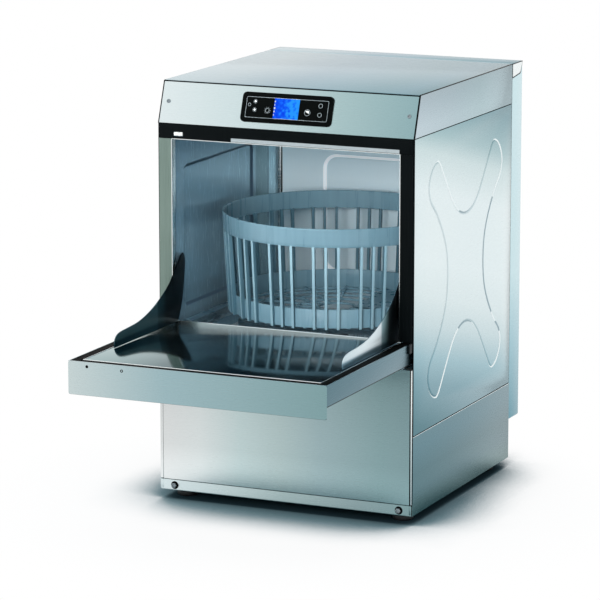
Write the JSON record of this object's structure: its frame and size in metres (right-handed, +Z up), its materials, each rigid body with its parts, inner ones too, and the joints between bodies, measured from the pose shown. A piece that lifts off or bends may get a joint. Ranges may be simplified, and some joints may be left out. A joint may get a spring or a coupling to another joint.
{
  "type": "commercial glass washer",
  "caption": "Under-counter glass washer with a steel cabinet, drop-down door, round slide-out basket, spray arms, tank, pumps and a sloping control panel.",
  "frame": {"origin": "bottom centre of the box around the machine with its door open: on the floor, midway across, and midway between the door lip and the rear cover", "axes": "+Z up, +Y from the door towards the rear, +X to the right of someone facing the door"},
  "size_m": [0.43, 0.778, 0.664],
  "materials": {
    "stainless": "fine brushed stainless sheet",
    "chamber_steel": "smooth bright stainless sheet",
    "dark_frame": "glossy black door frame",
    "black_plastic": "moulded black plastic",
    "grey_plastic": "moulded grey plastic",
    "white_plastic": "moulded off-white plastic",
    "basket_plastic": "grey-blue moulded plastic",
    "seal_rubber": "soft black seal",
    "screen": "lit blue display",
    "circuit_board": "green board",
    "motor_paint": "dark grey motor paint"
  },
  "bodies": {
    "cabinet": {"base_tray": "stainless", "side_panel_left": "stainless", "side_panel_right": "stainless", "lower_side_left": "stainless", "lower_side_right": "stainless", "front_panel": "stainless", "back_panel": "stainless", "rear_cover": "stainless", "top_cover": "stainless", "control_fascia": "stainless", "chamber_wall_left": "chamber_steel", "chamber_wall_right": "chamber_steel", "chamber_wall_back": "chamber_steel", "chamber_ceiling": "chamber_steel", "wash_tank": "chamber_steel", "basket_rail_left": "chamber_steel", "basket_rail_right": "chamber_steel", "boiler": "chamber_steel", "tank_heater": "chamber_steel", "jamb_left": "dark_frame", "jamb_right": "dark_frame", "lintel": "dark_frame", "door_hinge_left": "dark_frame", "door_hinge_right": "dark_frame", "control_bezel": "black_plastic", "wash_pump_housing": "black_plastic", "drain_pump": "black_plastic", "cable_gland": "black_plastic", "lower_arm_hub": "grey_plastic", "upper_arm_hub": "grey_plastic", "sump_filter": "grey_plastic", "detergent_doser": "grey_plastic", "rinse_aid_doser": "grey_plastic", "drain_spigot": "grey_plastic", "wash_riser_pipe": "grey_plastic", "door_catch": "white_plastic", "inlet_valve": "white_plastic", "display_screen": "screen", "control_board": "circuit_board", "wash_pump_motor": "motor_paint"},
    "door": {"door_outer_panel": "stainless", "door_inner_panel": "chamber_steel", "door_seal": "seal_rubber", "door_ear_left": "chamber_steel", "door_ear_right": "chamber_steel"},
    "basket": {"basket": "basket_plastic"},
    "standpipe": {"standpipe": "white_plastic"},
    "key_power": {"key_power": "grey_plastic"},
    "key_program": {"key_program": "grey_plastic"},
    "key_start": {"key_start": "grey_plastic"},
    "key_up": {"key_up": "grey_plastic"},
    "key_down": {"key_down": "grey_plastic"},
    "lower_wash_arm": {"lower_wash_arm": "chamber_steel"},
    "lower_rinse_arm": {"lower_rinse_arm": "chamber_steel"},
    "upper_wash_arm": {"upper_wash_arm": "chamber_steel"},
    "upper_rinse_arm": {"upper_rinse_arm": "chamber_steel"},
    "foot_front_left": {"foot_front_left": "black_plastic"},
    "foot_front_right": {"foot_front_right": "black_plastic"},
    "foot_back_left": {"foot_back_left": "black_plastic"},
    "foot_back_right": {"foot_back_right": "black_plastic"}
  },
  "joints": [
    {"name": "basket_slide", "type": "slide", "parent": "cabinet", "child": "basket", "axis": [0, 1, 0], "range_m": [-0.276, 0]},
    {"name": "door_hinge", "type": "hinge", "parent": "cabinet", "child": "door", "pos_m": [0, -0.077, 0.2825], "axis": [-1, 0, 0], "range_deg": [0, 90]},
    {"name": "key_power_press", "type": "slide", "parent": "cabinet", "child": "key_power", "axis": [0, 0.9427, -0.3336], "range_m": [0, 0.0008], "stiffness_N_per_m": 500},
    {"name": "key_program_press", "type": "slide", "parent": "cabinet", "child": "key_program", "axis": [0, 0.9427, -0.3336], "range_m": [0, 0.0008], "stiffness_N_per_m": 500},
    {"name": "key_start_press", "type": "slide", "parent": "cabinet", "child": "key_start", "axis": [0, 0.9427, -0.3336], "range_m": [0, 0.0008], "stiffness_N_per_m": 500},
    {"name": "key_up_press", "type": "slide", "parent": "cabinet", "child": "key_up", "axis": [0, 0.9427, -0.3336], "range_m": [0, 0.0008], "stiffness_N_per_m": 500},
    {"name": "key_down_press", "type": "slide", "parent": "cabinet", "child": "key_down", "axis": [0, 0.9427, -0.3336], "range_m": [0, 0.0008], "stiffness_N_per_m": 500},
    {"name": "level_foot_back_left", "type": "hinge", "parent": "cabinet", "child": "foot_back_left", "pos_m": [-0.185, 0.305, 0.008], "axis": [0, 0, 1], "continuous": true},
    {"name": "level_foot_back_right", "type": "hinge", "parent": "cabinet", "child": "foot_back_right", "pos_m": [0.185, 0.305, 0.008], "axis": [0, 0, 1], "continuous": true},
    {"name": "level_foot_front_left", "type": "hinge", "parent": "cabinet", "child": "foot_front_left", "pos_m": [-0.185, -0.037, 0.008], "axis": [0, 0, 1], "continuous": true},
    {"name": "level_foot_front_right", "type": "hinge", "parent": "cabinet", "child": "foot_front_right", "pos_m": [0.185, -0.037, 0.008], "axis": [0, 0, 1], "continuous": true},
    {"name": "spin_lower_wash_arm", "type": "hinge", "parent": "cabinet", "child": "lower_wash_arm", "pos_m": [0, 0.13, 0.2545], "axis": [0, 0, 1], "continuous": true},
    {"name": "spin_lower_rinse_arm", "type": "hinge", "parent": "cabinet", "child": "lower_rinse_arm", "pos_m": [0, 0.13, 0.2675], "axis": [0, 0, 1], "continuous": true},
    {"name": "spin_upper_wash_arm", "type": "hinge", "parent": "cabinet", "child": "upper_wash_arm", "pos_m": [0, 0.13, 0.567], "axis": [0, 0, 1], "continuous": true},
    {"name": "spin_upper_rinse_arm", "type": "hinge", "parent": "cabinet", "child": "upper_rinse_arm", "pos_m": [0, 0.13, 0.5545], "axis": [0, 0, 1], "continuous": true},
    {"name": "standpipe_lift", "type": "slide", "parent": "cabinet", "child": "standpipe", "axis": [0, 0, 1], "range_m": [0, 0.1]}
  ]
}
